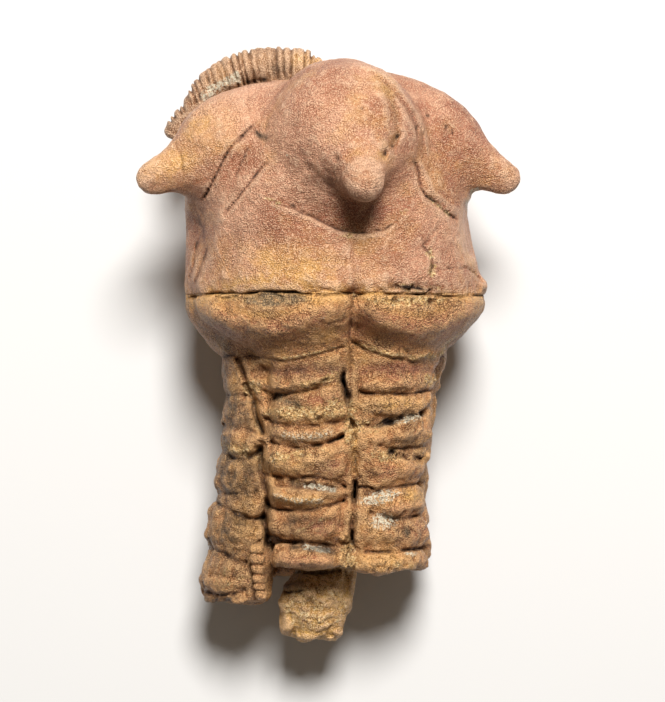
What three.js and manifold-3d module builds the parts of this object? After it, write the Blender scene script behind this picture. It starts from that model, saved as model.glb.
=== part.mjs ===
// A fossil crinoid crown lying on its back, stem end towards +Y and arm tips towards -Y.
// A cup of five spined basal plates carries five arms, which close round a core of sandy matrix.
// A length of stem curls round the base of the cup, and one pinnule lies beside the left arm.
// Millimetres, +Z up, the surface that the fossil lies on at Z = 0.
// The crown is drawn as it grew, round about the Y axis, and is then laid down, crushed and a little bent.

import * as THREE from "three";
import { mergeVertices } from "three/addons/utils/BufferGeometryUtils.js";
import Module from "manifold-3d";

const wasm = await Module();
wasm.setup();

// Driving dimensions

const crown = {
  jointY: 8, // the open joint between the cup and the arms
  bend: [[0.4, 50], [0, 24], [1.4, 8], [1.3, -5], [0.2, -20], [-0.1, -50]], // the axis, as [sideways, height]
  axisZ: 21.4, // height of the axis over the surface, at the joint
  rise: 0.15, // climb of the axis, per millimetre towards the stem
  crush: 0.82, // depth over width
  gap: 0.4, // matrix-filled parting between neighbouring pieces
};

// The cup's wall from the stem's seat down to the joint, as [radius, height]
const cup = {
  wall: [
    [3, 43], [8, 41.6], [13, 38.6], [18, 34], [21.6, 29], [23.2, 24.5],
    [23.6, 20], [23.9, 15.5], [24.7, 11], [25.2, 8],
  ],
  sides: 45,
  rings: 14,
  plateSwell: 0.025, // of the radial plates at the joint, as a share of the radius
};

// Basal plates, each a blunt spine on a swollen base, as azimuth from +X towards +Z, then [radius, height].
// The base's swell gives way to the spine's thickness down the neck, and the spine droops at its tip.
const basals = [
  { azimuth: 80, root: [5, 35.2], tip: [35.2, 23], swell: 1.24, thickness: 1.06, neckFrom: 0.42, droop: 3 },
  { azimuth: 157, root: [5, 34.4], tip: [33.7, 25.6], swell: 1, thickness: 1, neckFrom: 0.6, droop: 0.4 },
  { azimuth: 235, root: [5, 34.6], tip: [37.4, 27], swell: 1, thickness: 1, neckFrom: 0.6, droop: 0 },
  { azimuth: 298, root: [5, 35], tip: [34.6, 27], swell: 1, thickness: 1, neckFrom: 0.6, droop: 0 },
  { azimuth: 10, root: [5, 37.8], tip: [32.1, 25.4], swell: 0.86, thickness: 1, neckFrom: 0.6, droop: 0.4 },
];
// A spine's thickness along its length, as [share of the way to the tip, radius]
const spineOutline = [
  [0, 9], [0.2, 10], [0.4, 10.2], [0.53, 9.4], [0.63, 7.5], [0.69, 5.7],
  [0.75, 4.4], [0.81, 3.6], [0.87, 3.1], [0.92, 2.8], [0.965, 2.35], [0.99, 1.5],
];
const spine = { sides: 16, neckLength: 0.27, droopFrom: 0.55 }; // shares of the way to the tip

// Arms, in order of azimuth: where each ends, how far it splays out, and its seams' heights
const arms = [
  {
    name: "arm_front_right", tipY: -38.2, splay: 0.2, groove: 1.1,
    seams: [-1.4, -8.2, -13.4, -18, -24.1, -30, -34.6],
  },
  {
    name: "arm_front_left", tipY: -38, splay: 0, groove: 1.2,
    seams: [-3, -8.6, -15.5, -21.6, -27, -33],
  },
  {
    name: "arm_left", tipY: -43.8, splay: 3.8, groove: 1.2,
    seams: [-3.4, -9.8, -14.6, -18.4, -25.3, -30, -36],
  },
  {
    name: "arm_back", tipY: -40.5, splay: 1.2, groove: 1.1,
    seams: [-2.6, -9, -15, -21, -27, -33.5],
  },
  {
    name: "arm_right", tipY: -37, splay: 0, groove: 1.2,
    seams: [-2.2, -9, -14.6, -20.4, -26.2, -32],
  },
];
// Azimuth of the parting before each arm, at the joint and further down, where the arms have shifted
const partings = { atJoint: [6, 82, 170, 230, 298], below: [5, 75, 131, 208, 286], settledY: -8 };
// The arms' outer face from the joint down, as [radius, height]
const armFace = [
  [25, 7.6], [25.5, 6.4], [25.4, 4.6], [24.2, 2.4], [22.1, 0.2], [20.3, -2],
  [19.2, -6], [18.8, -11], [18.4, -17], [18.2, -24], [18.2, -44],
];
const armSection = {
  inner: 6.6, // radius of the inner face
  // Half the section, outer middle to inner middle: how far across, then how far out at the joint and below
  half: [
    [0, 1, 1], [0.4, 1, 0.96], [0.76, 0.99, 0.83], [1, 0.92, 0.5],
    [1, 0.1, 0], [1, -0.7, -0.6], [0.7, -1, -1], [0, -1, -1],
  ],
  scallop: 2.4, // how much further down the first plates reach in their middle than at their sides
  seamTilt: 0.9, // how far a seam rises or falls over half the arm's width
  splayFromY: -6,
  tipWear: 0.8, // rounding of the broken tip
};

// The matrix core, as [radius, height], and the broken plug that it ends in
const core = {
  column: [[5.8, 7.2], [6, -10], [6, -30], [5.6, -38], [6, -41], [5.8, -45], [5.7, -48.8], [4.4, -50]],
  sides: 14,
  rings: 16,
  lump: { height: 0.4, around: 3, along: 1.3 }, // of the plug's broken surface
  plugY: [-35, -45], // where the plug's sideways shift starts and ends
  plugShift: -2.4,
};

// The stem's centre line from the cup's base round to its broken end
const stem = {
  line: [
    [-1, 41.5, 23.6], [-4, 44.3, 23], [-8.6, 45.8, 22], [-14.4, 45.2, 21],
    [-19, 42.6, 20], [-22.2, 39.2, 19.4], [-24.4, 36.2, 18.8], [-25.6, 33.8, 18.4],
  ],
  radius: 4.2,
  endRadius: 2.7,
  discs: 22,
  groove: 0.5,
  sides: 11,
};

// The pinnule beside the left arm, from its root to its broken tip
const pinnule = {
  line: [[-11.7, -33.6, 26], [-11.6, -38, 25.2], [-11, -42.8, 23.6]],
  radius: 1.45,
  endRadius: 1.05,
  joints: 6,
  groove: 0.3,
  sides: 8,
};

const stone = {
  crown: new THREE.MeshStandardMaterial({ color: "#b57f5e", roughness: 0.8, metalness: 0 }),
  stem: new THREE.MeshStandardMaterial({ color: "#bd9068", roughness: 0.8, metalness: 0 }),
  matrix: new THREE.MeshStandardMaterial({ color: "#a07c4a", roughness: 0.95, metalness: 0 }),
};

// Geometry helpers

const radians = THREE.MathUtils.degToRad;

function aroundAxis(radius, azimuth, y) {
  return new THREE.Vector3(radius * Math.cos(azimuth), y, radius * Math.sin(azimuth));
}

// A smooth line through [radius, height] pairs
function outline(pairs) {
  return new THREE.SplineCurve(pairs.map(([radius, y]) => new THREE.Vector2(radius, y)));
}

// The first number of falling [number, height] pairs at a height between theirs
function atHeight(pairs, y) {
  const after = pairs.findIndex(([, height]) => height <= y);
  if (after === 0) return pairs[0][0];
  if (after < 0) return pairs.at(-1)[0];
  const [from, y0] = pairs[after - 1];
  const [to, y1] = pairs[after];
  return THREE.MathUtils.mapLinear(y, y0, y1, from, to);
}

// Takes a round, upright piece of the crown to where it lies: crushed, on its bent and rising axis
function layDown(geometry) {
  const points = geometry.attributes.position;
  for (let i = 0; i < points.count; i++) {
    const y = points.getY(i);
    const z = crown.axisZ + crown.rise * (y - crown.jointY) + crown.crush * points.getZ(i);
    points.setX(i, points.getX(i) + atHeight(crown.bend, y));
    points.setZ(i, z);
  }
  return geometry;
}

// Joins rings of equal count into one closed skin, with a fan over each end
function skin(rings) {
  const count = rings[0].length;
  const points = rings.flat();
  const faces = [];
  for (let ring = 0; ring + 1 < rings.length; ring++) {
    for (let i = 0; i < count; i++) {
      const a = ring * count + i;
      const b = ring * count + ((i + 1) % count);
      faces.push(a, b, b + count, a, b + count, a + count);
    }
  }
  const middle = (ring) => ring.reduce((sum, p) => sum.add(p), new THREE.Vector3()).divideScalar(count);
  const head = points.push(middle(rings[0])) - 1;
  const tail = points.push(middle(rings.at(-1))) - 1;
  const last = (rings.length - 1) * count;
  for (let i = 0; i < count; i++) {
    const next = (i + 1) % count;
    faces.push(head, next, i, tail, last + i, last + next);
  }
  return new THREE.BufferGeometry().setFromPoints(points).setIndex(faces);
}

// A jointed rod along a line: discs that stand proud, with a groove between each two
function jointedRod({ line, radius, endRadius, groove, sides }, discs, swell = 0) {
  const curve = new THREE.CatmullRomCurve3(line.map((p) => new THREE.Vector3(...p)));
  const stations = discs * 2;
  const frames = curve.computeFrenetFrames(stations);
  const rings = [];
  for (let i = 0; i <= stations; i++) {
    const share = i / stations;
    const depth = i % 2 ? 0 : groove;
    const reach = THREE.MathUtils.lerp(radius, endRadius, share) - depth + swell;
    const centre = curve.getPointAt(share);
    rings.push(Array.from({ length: sides }, (_, j) => {
      const turn = (j / sides) * 2 * Math.PI;
      return centre.clone()
        .addScaledVector(frames.normals[i], reach * Math.cos(turn))
        .addScaledVector(frames.binormals[i], reach * Math.sin(turn));
    }));
  }
  return skin(rings);
}

// Solids to join and cut, and back to plain geometry

function solid(geometry) {
  const bare = geometry.clone();
  bare.deleteAttribute("normal");
  bare.deleteAttribute("uv");
  const merged = mergeVertices(bare, 1e-4);
  return new wasm.Manifold(new wasm.Mesh({
    numProp: 3,
    vertProperties: merged.attributes.position.array,
    triVerts: new Uint32Array(merged.index.array),
  }));
}

function plain(body) {
  const mesh = body.getMesh();
  const geometry = new THREE.BufferGeometry();
  geometry.setAttribute("position", new THREE.BufferAttribute(mesh.vertProperties, 3));
  geometry.setIndex(new THREE.BufferAttribute(mesh.triVerts, 1));
  geometry.computeVertexNormals();
  return geometry;
}

// What the fossil lies on: whatever reaches below it has worn flat
const surfaceDepth = 20;
const surface = solid(
  new THREE.BoxGeometry(200, 200, surfaceDepth).translate(0, 0, -surfaceDepth / 2),
);

// The cup: its wall, with the spined basal plates grown into it. A clearance fattens it, to cut others with.

function cupWall(clearance) {
  const profile = outline(cup.wall);
  const [, topY] = cup.wall[0];
  const plateMiddle = radians(basals[0].azimuth + 36);
  const rings = [];
  for (let i = 0; i <= cup.rings; i++) {
    const { x: radius, y } = profile.getPointAt(i / cup.rings);
    const swell = cup.plateSwell * THREE.MathUtils.smoothstep(topY - y, 0, topY - crown.jointY);
    rings.push(Array.from({ length: cup.sides }, (_, j) => {
      const azimuth = (j / cup.sides) * 2 * Math.PI;
      const plate = 1 + swell * Math.cos(5 * (azimuth - plateMiddle));
      return aroundAxis(radius * plate + clearance, azimuth, y);
    }));
  }
  return skin(rings);
}

function basalPlate({ azimuth, root, tip, swell, thickness, neckFrom, droop }, clearance) {
  const from = aroundAxis(root[0], radians(azimuth), root[1]);
  const to = aroundAxis(tip[0], radians(azimuth), tip[1] + droop);
  const length = from.distanceTo(to);
  const profile = spineOutline.map(([share, radius]) => {
    const slimmed = THREE.MathUtils.smoothstep(share, neckFrom, neckFrom + spine.neckLength);
    const fullness = THREE.MathUtils.lerp(swell, thickness, slimmed);
    return new THREE.Vector2(radius * fullness + clearance, share * length);
  });
  const claw = new THREE.LatheGeometry(
    [new THREE.Vector2(0, 0), ...profile, new THREE.Vector2(0, length + clearance)],
    spine.sides,
  );
  const up = new THREE.Vector3(0, 1, 0);
  const turn = new THREE.Quaternion().setFromUnitVectors(up, to.clone().sub(from).normalize());
  const down = up.clone().negate().applyQuaternion(turn.clone().invert());
  const points = claw.attributes.position;
  for (let i = 0; i < points.count; i++) {
    const share = Math.max(0, points.getY(i) / length - spine.droopFrom) / (1 - spine.droopFrom);
    const point = new THREE.Vector3().fromBufferAttribute(points, i);
    points.setXYZ(i, ...point.addScaledVector(down, droop * share ** 2));
  }
  return claw.applyQuaternion(turn).translate(from.x, from.y, from.z);
}

function cupSolid(clearance = 0) {
  const wall = solid(layDown(cupWall(clearance)));
  return basals
    .map((basal) => solid(layDown(basalPlate(basal, clearance))))
    .reduce((joined, plate) => joined.add(plate), wall)
    .subtract(surface);
}

// Arms: wedge-shaped brachial plates, stacked from the joint to the broken tip

function partingAt(index, y) {
  const wrap = Math.floor(index / arms.length) * 360;
  const i = index % arms.length;
  const settled = THREE.MathUtils.smoothstep(crown.jointY - y, 0, crown.jointY - partings.settledY);
  return radians(wrap + THREE.MathUtils.lerp(partings.atJoint[i], partings.below[i], settled));
}

function armRing(arm, index, y, sunk, tilt, lift) {
  const { inner, half, splayFromY } = armSection;
  const outer = atHeight(armFace, y) - sunk;
  const below = THREE.MathUtils.smoothstep(crown.jointY - y, 0, crown.jointY - partings.settledY);
  const splayed = THREE.MathUtils.smoothstep(splayFromY - y, 0, splayFromY - arm.tipY) * arm.splay;
  const splayTo = aroundAxis(splayed, (partingAt(index, y) + partingAt(index + 1, y)) / 2, 0);
  const mirrored = half.slice(1, -1).reverse().map(([across, ...outs]) => [-across, ...outs]);
  return [...half, ...mirrored].map(([across, outAtJoint, outBelow]) => {
    const height = y + tilt * across + lift * across ** 2;
    const from = partingAt(index, height);
    const to = partingAt(index + 1, height);
    const out = THREE.MathUtils.lerp(outAtJoint, outBelow, below);
    const radius = THREE.MathUtils.mapLinear(out, -1, 1, inner, outer);
    const reach = (to - from) / 2 - crown.gap / 2 / radius;
    return aroundAxis(radius, (from + to) / 2 + reach * across, height).add(splayTo);
  });
}

// The bed that the pinnule lies in, a gap wider than itself
const pinnuleBed = solid(jointedRod(pinnule, pinnule.joints, crown.gap));

// Heights and depths of the rings down one plate: its seam, its two shoulders and its swollen middle
const plateShape = [[0, 1], [0.2, 0.22], [0.52, 0], [0.82, 0.2]];

// The scallop grows down the first plate and is lost over the second
function scallopAt(arm, y) {
  const [edgeY, nextY] = arm.seams;
  const grown = 1 - THREE.MathUtils.clamp((y - edgeY) / (crown.jointY - edgeY), 0, 1) ** 2;
  const lost = THREE.MathUtils.smoothstep(edgeY - y, 0, edgeY - nextY);
  return armSection.scallop * grown * (1 - lost);
}

function armSolid(arm, index) {
  const rings = armFace
    .filter(([, y]) => y > arm.seams[0] + arm.groove)
    .map(([, y]) => armRing(arm, index, y, 0, 0, scallopAt(arm, y)));
  arm.seams.forEach((seamY, i) => {
    const nextY = arm.seams[i + 1] ?? arm.tipY;
    const tilt = i === 0 ? 0 : armSection.seamTilt * (i % 2 ? 1 : -1);
    plateShape.forEach(([share, depth]) => {
      const y = THREE.MathUtils.lerp(seamY, nextY, share);
      const steady = share === 0 ? tilt : tilt * (1 - 2 * share);
      rings.push(armRing(arm, index, y, depth * arm.groove, steady, scallopAt(arm, y)));
    });
  });
  rings.push(armRing(arm, index, arm.tipY, armSection.tipWear, 0, 0));
  return solid(layDown(skin(rings))).subtract(surface).subtract(pinnuleBed);
}

// The matrix core: a plain column between the arms, with a lumpy broken plug past their tips

function coreSolid() {
  const column = outline(core.column);
  const [fromY, toY] = core.plugY;
  const { height, around, along } = core.lump;
  const rings = [];
  for (let i = 0; i <= core.rings; i++) {
    const { x: radius, y } = column.getPointAt(i / core.rings);
    const out = THREE.MathUtils.smoothstep(fromY - y, 0, fromY - toY);
    rings.push(Array.from({ length: core.sides }, (_, j) => {
      const azimuth = (j / core.sides) * 2 * Math.PI;
      const wave = Math.sin(around * azimuth + y) * Math.cos(along * y);
      const sideways = new THREE.Vector3(core.plugShift * out, 0, 0);
      return aroundAxis(radius + height * wave * out, azimuth, y).add(sideways);
    }));
  }
  return solid(layDown(skin(rings)));
}

// The assembled fossil

function piece(name, geometry, material) {
  const mesh = new THREE.Mesh(geometry, material);
  mesh.name = name;
  return mesh;
}

const fossil = new THREE.Group();
fossil.name = "fossil_crinoid";
fossil.add(piece("cup", plain(cupSolid()), stone.crown));
arms.forEach((arm, index) => fossil.add(piece(arm.name, plain(armSolid(arm, index)), stone.crown)));
fossil.add(piece("matrix_core", plain(coreSolid()), stone.matrix));
const stemRod = solid(jointedRod(stem, stem.discs));
fossil.add(piece("stem", plain(stemRod.subtract(cupSolid(crown.gap))), stone.stem));
fossil.add(piece("pinnule", jointedRod(pinnule, pinnule.joints), stone.crown));

// The origin is under the middle of the fossil, on the surface
const extent = new THREE.Box3().setFromObject(fossil);
const middle = extent.getCenter(new THREE.Vector3());
fossil.position.set(-middle.x, -middle.y, -extent.min.z);

export default fossil;
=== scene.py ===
import math

import bpy
import numpy as np
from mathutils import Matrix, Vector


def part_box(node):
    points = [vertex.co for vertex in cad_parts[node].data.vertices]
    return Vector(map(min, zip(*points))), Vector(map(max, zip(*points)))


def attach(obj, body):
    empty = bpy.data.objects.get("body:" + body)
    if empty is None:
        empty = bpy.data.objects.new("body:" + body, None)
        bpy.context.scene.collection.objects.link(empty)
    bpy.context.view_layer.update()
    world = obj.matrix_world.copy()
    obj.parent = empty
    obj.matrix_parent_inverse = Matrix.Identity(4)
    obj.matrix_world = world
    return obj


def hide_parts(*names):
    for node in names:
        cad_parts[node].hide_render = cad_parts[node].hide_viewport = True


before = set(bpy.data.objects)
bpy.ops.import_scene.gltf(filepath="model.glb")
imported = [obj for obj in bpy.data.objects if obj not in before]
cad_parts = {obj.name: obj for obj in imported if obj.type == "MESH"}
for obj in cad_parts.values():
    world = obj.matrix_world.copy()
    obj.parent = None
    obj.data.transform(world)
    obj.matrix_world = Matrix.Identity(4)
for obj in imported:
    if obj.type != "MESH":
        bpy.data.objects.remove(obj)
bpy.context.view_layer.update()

import openvdb
from mathutils import Vector

scene = bpy.context.scene
mmPerMetre = 1000.0  # stone is worked in millimetres; the stage, bumps and Blender's meshes are in metres
print("frame loaded")

# How the photograph was taken: straight down, with the stem end at the top. Millimetres, and its own pixels
photoView = {
    "width": 665,
    "height": 702,
    "eye": (0.44, -1.38, 450.0),
    "pixelsPerMm": 5.707,  # on the surface that the fossil lies on
    "sensor": 24.0,
    "nearest": 10.0,  # what is closer than this to the eye is not drawn
}

# How the crown lies: the height of its axis at the joint, and the climb of the axis towards the stem
crownAxis = {"jointY": 8.2, "height": 21.4, "climb": 0.15, "blend": 4.0}


def toPhoto(points):
    eyeX, eyeY, eyeZ = photoView["eye"]
    scale = photoView["pixelsPerMm"] * eyeZ / (eyeZ - points[:, 2])
    across = photoView["width"] / 2 + (points[:, 0] - eyeX) * scale
    down = photoView["height"] / 2 - (points[:, 1] - eyeY) * scale
    return np.stack([across, down], axis=1)


def smoothStep(values, low, high):
    share = np.clip((values - low) / (high - low), 0, 1)
    return share * share * (3 - 2 * share)


# 1 on the side of the crown that the photograph shows, 0 on its underside
def shownSide(points):
    axisZ = crownAxis["height"] + crownAxis["climb"] * (points[:, 1] - crownAxis["jointY"])
    return smoothStep(points[:, 2] - axisZ, -crownAxis["blend"], crownAxis["blend"])


def allRound(points):
    return np.ones(len(points))


# Soft lumps between -1 and 1, from a seeded lattice of random heights that repeats
latticeSize = 32
latticeShift = 8 * latticeSize  # keeps every place on the lattice above zero


def latticeOf(seed):
    shape = (latticeSize, latticeSize, latticeSize)
    return np.random.default_rng(seed).uniform(-1, 1, shape).astype(np.float32)


def latticeShare(places, size):
    scaled = np.asarray(places, np.float32) / size + latticeShift
    base = np.floor(scaled).astype(np.int32)
    share = scaled - base
    return base, share * share * (3 - 2 * share)


# The values on the corners of the cell round each place, mixed by how near they are
def mixedCorners(base, share, valuesAt):
    total = np.zeros(len(base), np.float32)
    for corner in np.ndindex(*[2] * share.shape[1]):
        weight = np.ones(len(base), np.float32)
        for axis, far in enumerate(corner):
            weight *= share[:, axis] if far else 1 - share[:, axis]
        total += weight * valuesAt(*(base + corner).T)
    return total


def softLumps(points, size, seed):
    lattice = latticeOf(seed)
    base, share = latticeShare(points, size)
    return mixedCorners(base, share, lambda *at: lattice[tuple(np.array(at) % latticeSize)])


# The same lumps at all the cells of a volume
def lumpField(volume, size, seed):
    values = latticeOf(seed)
    for axis in range(3):
        count = volume.values.shape[axis]
        base, share = latticeShare(volume.corner[axis] + np.arange(count) * volume.cell, size)
        weights = np.zeros((count, latticeSize), np.float32)
        weights[np.arange(count), base % latticeSize] += 1 - share
        weights[np.arange(count), (base + 1) % latticeSize] += share
        values = np.tensordot(values, weights, axes=([0], [1]))
    return values


# Volumes: distances to a surface on a grid of cells, in millimetres, negative inside

class Volume:
    def __init__(self, values, corner, cell):
        self.values = values
        self.corner = np.asarray(corner, np.float32)
        self.cell = cell

    def places(self, mask):
        return np.argwhere(mask).astype(np.float32) * self.cell + self.corner

    def sample(self, points):
        scaled = (points - self.corner) / self.cell
        base = np.clip(np.floor(scaled).astype(np.int32), 0, np.array(self.values.shape) - 2)
        share = np.clip(scaled - base, 0, 1)
        return mixedCorners(base, share, lambda *at: self.values[at])

    # The part of it inside a box, with a margin
    def cropped(self, low, high, margin=1.5):
        top = np.array(self.values.shape)
        first = np.clip(np.floor((low - margin - self.corner) / self.cell).astype(int), 0, top)
        last = np.clip(np.ceil((high + margin - self.corner) / self.cell).astype(int), 0, top)
        inside = tuple(slice(a, b) for a, b in zip(first, last))
        return Volume(self.values[inside], self.corner + first * self.cell, self.cell)


def nodeBox(name):
    low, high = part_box(name)
    return np.array(low) * mmPerMetre, np.array(high) * mmPerMetre


def nodeSurface(name):
    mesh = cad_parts[name].data
    mesh.calc_loop_triangles()
    points = np.empty(len(mesh.vertices) * 3, np.float32)
    triangles = np.empty(len(mesh.loop_triangles) * 3, np.int32)
    mesh.vertices.foreach_get("co", points)
    mesh.loop_triangles.foreach_get("vertices", triangles)
    return points.reshape(-1, 3) * np.float32(mmPerMetre), triangles.reshape(-1, 3).astype(np.uint32)


# Distances to a CAD node on the grid between two corners
def nodeVolume(name, cell, low, high, reach):
    points, triangles = nodeSurface(name)
    grid = openvdb.FloatGrid.createLevelSetFromPolygons(
        points,
        triangles=triangles,
        transform=openvdb.createLinearTransform(voxelSize=cell),
        halfWidth=reach / cell,
    )
    first = np.floor(np.array(low) / cell).astype(int)
    last = np.ceil(np.array(high) / cell).astype(int)
    values = np.zeros(last - first + 1, np.float32)
    grid.copyToArray(values, ijk=tuple(int(i) for i in first))
    return Volume(values, first * cell, cell)


blurReach = 2.5  # sigmas to where the weights of a softening end


def blurred(values, sigma):
    reach = max(1, math.ceil(blurReach * sigma))
    weights = np.exp(-0.5 * (np.arange(-reach, reach + 1) / sigma) ** 2)
    weights = (weights / weights.sum()).astype(np.float32)
    for axis in range(3):
        count = values.shape[axis]
        margins = [(reach, reach) if a == axis else (0, 0) for a in range(3)]
        padded = np.moveaxis(np.pad(values, margins, mode="edge"), axis, 0)
        summed = sum(weight * padded[k:k + count] for k, weight in enumerate(weights))
        values = np.moveaxis(summed, 0, axis)
    return np.ascontiguousarray(values, np.float32)


# The same values on cells half as large
def refined(values):
    for axis in range(3):
        lined = np.moveaxis(values, axis, 0)
        finer = np.empty((2 * lined.shape[0] - 1,) + lined.shape[1:], np.float32)
        finer[0::2] = lined
        finer[1::2] = (lined[1:] + lined[:-1]) / 2
        values = np.moveaxis(finer, 0, axis)
    return np.ascontiguousarray(values)


# The lower of two distances, rounded where they meet
def softLower(first, second, rounding):
    share = np.clip(0.5 + 0.5 * (second - first) / rounding, 0, 1)
    return second + (first - second) * share - rounding * share * (1 - share)


# Lines and spots drawn over the photograph, which are carved into the side that it shows.
# A mark's width or size is in pixels, and its rise in millimetres out of the stone.

def smoothLine(points, steps=5):
    points = [np.array(p, float) for p in points]
    if len(points) < 3:
        return np.array(points)
    ends = [2 * points[0] - points[1], *points, 2 * points[-1] - points[-2]]
    line = []
    for a, b, c, d in zip(ends, ends[1:], ends[2:], ends[3:]):
        for t in np.arange(steps) / steps:
            curve = (2 * a - 5 * b + 4 * c - d) * t**2 + (3 * b - a - 3 * c + d) * t**3
            line.append(b + 0.5 * ((c - a) * t + curve))
    return np.array([*line, points[-1]])


# Distance of each seen point from a line, how far along the line that is, and on which side
def besideLine(seen, line):
    best = np.full(len(seen), np.inf)
    share = np.zeros(len(seen))
    side = np.zeros(len(seen))
    lengths = np.hypot(*np.diff(line, axis=0).T)
    start = 0.0
    for a, b, length in zip(line, line[1:], lengths):
        t = np.clip(((seen - a) @ (b - a)) / length**2, 0, 1)
        offset = seen - a - t[:, None] * (b - a)
        distance = np.hypot(*offset.T)
        closer = distance < best
        best = np.where(closer, distance, best)
        share = np.where(closer, (start + t * length) / lengths.sum(), share)
        turned = (b - a)[0] * offset[:, 1] - (b - a)[1] * offset[:, 0]
        side = np.where(closer, np.sign(turned), side)
        start += length
    return best, share, side


lineEnds = {"from": -0.02, "taper": 0.15}  # shares of its length over which a line sets in
stepFrom = -0.5  # widths from its line to where a step begins


# How strongly a mark is felt at each seen point, from 0 to 1
def markWeight(seen, mark):
    if "line" in mark:
        width = mark["width"]
        distance, share, side = besideLine(seen, smoothLine(mark["line"]))
        taper = mark.get("taper", lineEnds["taper"])
        ends = smoothStep(np.minimum(share, 1 - share), lineEnds["from"], taper)
        if "fade" in mark:  # a step: felt only on the left of the line
            edge = smoothStep(-side * distance, stepFrom * width, width)
            return edge * np.exp(-(distance / mark["fade"]) ** 2) * ends
        return np.exp(-(distance / width) ** 2) * ends
    turn = math.radians(mark.get("turn", 0))
    across, down = (seen - np.array(mark["spot"], float)).T
    along = across * math.cos(turn) + down * math.sin(turn)
    aside = down * math.cos(turn) - across * math.sin(turn)
    size = np.array(mark["size"], float)
    return np.exp(-((along / size[0]) ** 2 + (aside / size[1]) ** 2) ** mark.get("flat", 1))


# How far apart, in pixels, broken lines come and go, and the lumps between which they do
breaks = {"size": 9.0, "seed": 31, "gaps": (-0.3, 0.5)}


# All the marks together, on a sheet of cells as wide as the photograph
class Drawing:
    cellsPerPixel = 2
    kinds = ("rise", "rough", "grime", "ochre", "pale", "ash", "rosy", "sandy")
    lineReach = 3.0  # widths to where a line is no longer felt
    spotReach = 2.6  # sizes to where a spot is no longer felt

    def __init__(self, marks):
        shape = (photoView["height"] * self.cellsPerPixel, photoView["width"] * self.cellsPerPixel)
        self.sheets = {kind: np.zeros(shape, np.float32) for kind in self.kinds}
        for mark in marks:
            self.draw(mark)

    def draw(self, mark):
        if "line" in mark:
            corners = np.array(mark["line"], float)
            reach = self.lineReach * max(mark["width"], mark.get("fade", 0))
        else:
            corners = np.array([mark["spot"]], float)
            reach = self.spotReach * max(mark["size"])
        edge = np.array([photoView["width"], photoView["height"]]) * self.cellsPerPixel
        low = np.floor((corners.min(0) - reach) * self.cellsPerPixel).clip(0, edge).astype(int)
        high = np.ceil((corners.max(0) + reach) * self.cellsPerPixel).clip(0, edge).astype(int)
        across, down = np.meshgrid(np.arange(low[0], high[0]), np.arange(low[1], high[1]))
        seen = np.stack([across.ravel(), down.ravel()], axis=1) / self.cellsPerPixel
        weight = markWeight(seen, mark)
        if "broken" in mark:  # the line comes and goes along its length
            level = softLumps(np.append(seen, 0 * seen[:, :1], axis=1), breaks["size"], breaks["seed"])
            weight *= 1 - mark["broken"] * smoothStep(level, *breaks["gaps"])
        weight = weight.reshape(across.shape)
        for kind in self.kinds:
            if kind in mark:
                self.sheets[kind][down, across] += mark[kind] * weight

    def at(self, kind, seen):
        sheet = self.sheets[kind]
        scaled = seen * self.cellsPerPixel
        base = np.floor(scaled).astype(np.int32)
        share = (scaled - base).astype(np.float32)
        return mixedCorners(base, share, lambda across, down: sheet[down, across])


wander = {"size": 1.4, "pixels": 0.9, "seeds": (5, 6)}  # how marks stray from their drawn lines
crumbs = [(0.9, 1.0, 7), (0.45, 0.6, 8)]  # size in millimetres, share and seed of the lumps in rough marks


def carve(volume, drawing, shown, band=3.2):
    near = np.abs(volume.values) < band
    points = volume.places(near)
    stray = [lumpField(volume, wander["size"], seed)[near] for seed in wander["seeds"]]
    seen = toPhoto(points) + wander["pixels"] * np.stack(stray, axis=1)
    rough = sum(share * lumpField(volume, size, seed)[near] for size, share, seed in crumbs)
    change = drawing.at("rise", seen) + rough * drawing.at("rough", seen)
    volume.values[near] -= change * shown(points).astype(np.float32)


lumpSeed = 11
foldShape = {"seed": 41, "level": 0.6}  # at its level a fold neither adds stone nor takes it away


def roughen(volume, layers):
    for index, (size, height) in enumerate(layers):
        volume.values -= height * lumpField(volume, size, lumpSeed + index)


# Folds with sharp creases between them, which fade out from one place along the crown to another
def wrinkle(volume, layers, fadeFrom, fadeTo):
    along = volume.corner[1] + np.arange(volume.values.shape[1]) * volume.cell
    felt = 1 - smoothStep(along, fadeFrom, fadeTo)
    for index, (size, height) in enumerate(layers):
        folds = 2 * np.abs(lumpField(volume, size, foldShape["seed"] + index)) - foldShape["level"]
        volume.values -= height * folds * felt[None, :, None].astype(np.float32)


# A piece from a volume, with its relief, stains and painted shade kept on its points for the materials

reliefSize = {"fine": 0.45, "broad": 2.2}  # how far round a point its hollows are felt, in millimetres
# the stains and tints carry dirt and colour, and the painted shade of some marks
stainAndShadeLayers = {"stainsAndShade": ("grime", "ochre", "pale"), "tintsAndShade": ("ash", "rosy", "sandy")}


# How deep the points of a surface lie among their surroundings, close by and further round
class Relief:
    def __init__(self, volume):
        cell = volume.cell
        self.fine = Volume(blurred(volume.values, reliefSize["fine"] / cell), volume.corner, cell)
        wide = cell * 2
        coarse = np.ascontiguousarray(volume.values[::2, ::2, ::2])
        self.broad = Volume(blurred(coarse, reliefSize["broad"] / wide), volume.corner, wide)

    def at(self, points):
        fine = -self.fine.sample(points) / reliefSize["fine"]
        broad = -self.broad.sample(points) / reliefSize["broad"]
        return fine, broad


def setColours(mesh, name, *channels):
    layer = mesh.attributes.new(name, "FLOAT_COLOR", "POINT")
    colours = np.ones((len(mesh.vertices), 4), np.float32)
    colours[:, :len(channels)] = np.stack(channels, axis=1)
    layer.data.foreach_set("color", colours.ravel())


outside = 3.0  # the distance that stands beyond the cells of a volume, in millimetres


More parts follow.
